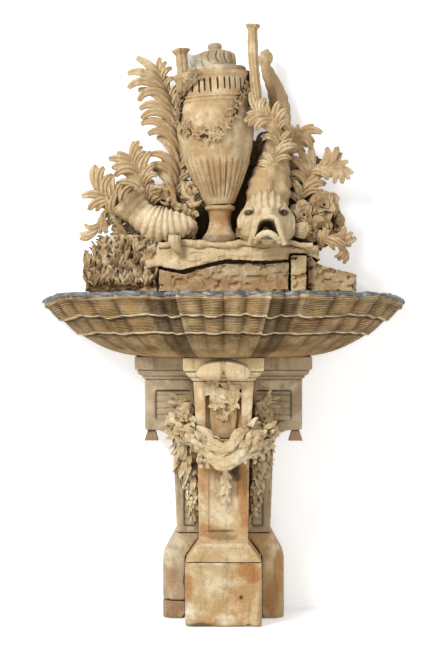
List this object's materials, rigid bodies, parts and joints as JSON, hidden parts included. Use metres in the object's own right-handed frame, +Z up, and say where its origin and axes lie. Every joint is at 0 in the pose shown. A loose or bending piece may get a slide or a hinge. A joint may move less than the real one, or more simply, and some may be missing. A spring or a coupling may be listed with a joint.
{
  "type": "wall fountain",
  "caption": "Terracotta wall fountain: fluted shell basin on a pier with side consoles, under a lidded vase, dolphin spout, conch, coral and acanthus leaves.",
  "frame": {"origin": "centre of the object's box in plan, at floor level", "axes": "+Z up, front towards -Y, the flat back stands against a wall at the +Y side"},
  "size_m": [1.3866, 0.6618, 2.2056],
  "materials": {
    "terracotta": "unglazed, weathered",
    "terracotta_grey": "unglazed, grey bloom",
    "terracotta_red": "unglazed, red body",
    "terracotta_pink": "unglazed, cleaned",
    "limewashed": "unglazed, traces of limewash",
    "lead": "oxidised sheet lead",
    "brass": "dull",
    "copper": "dull",
    "iron": "forged"
  },
  "bodies": {
    "fountain": {"pier_base_block": "terracotta", "pier_shaft": "terracotta", "pier_capital": "terracotta", "niche_tablet": "terracotta", "capital_shell": "terracotta", "shell_basin": "terracotta", "rock_plinth_left": "terracotta", "plinth_slab": "terracotta", "rock_ledge_right": "terracotta", "rock_bed": "terracotta", "seaweed_rock": "terracotta", "rock_mound_left": "terracotta", "rock_mound_right": "terracotta", "vase_body": "terracotta", "handle_left": "terracotta", "handle_right": "terracotta", "dolphin_body": "terracotta", "dolphin_fluke": "terracotta", "dolphin_fin_right": "terracotta", "small_shell": "terracotta", "frond_left_tall": "terracotta", "frond_left_low": "terracotta", "frond_left_fan": "terracotta", "leaf_left_curled": "terracotta", "frond_right_leaning": "terracotta", "frond_right_inner": "terracotta", "frond_right_outer": "terracotta", "flower_cluster": "terracotta", "foliage_right": "terracotta", "wing_left": "terracotta_grey", "wing_right": "terracotta_grey", "wing_cornice_left": "terracotta_grey", "wing_cornice_right": "terracotta_grey", "wing_plinth_left": "terracotta_grey", "wing_plinth_right": "terracotta_grey", "plinth_course_left": "terracotta_red", "ear_pendant_left": "terracotta_red", "ear_pendant_right": "terracotta_red", "vase_foot": "terracotta_pink", "oak_spray": "limewashed", "garland_swag": "limewashed", "garland_drop_left": "limewashed", "garland_drop_right": "limewashed", "rosette_right": "limewashed", "rock_pillar": "limewashed", "ivy_garland": "limewashed", "ivy_shoulder": "limewashed", "dolphin_head": "limewashed", "dolphin_lower_jaw": "limewashed", "conch_shell": "limewashed", "coral_branch": "limewashed", "lead_rim": "lead", "waste_pipe": "lead", "waste_outlet": "brass", "spout_nozzle": "brass", "supply_pipe": "copper", "vase_dowel": "iron"},
    "lid": {"vase_lid": "terracotta"},
    "standpipe": {"overflow_standpipe": "brass"}
  },
  "joints": [
    {"name": "lid_lift", "type": "slide", "parent": "fountain", "child": "lid", "axis": [-0.061, 0, 0.9981], "range_m": [0, 0.16]},
    {"name": "standpipe_lift", "type": "slide", "parent": "fountain", "child": "standpipe", "axis": [0, 0, 1], "range_m": [0, 0.2]}
  ]
}
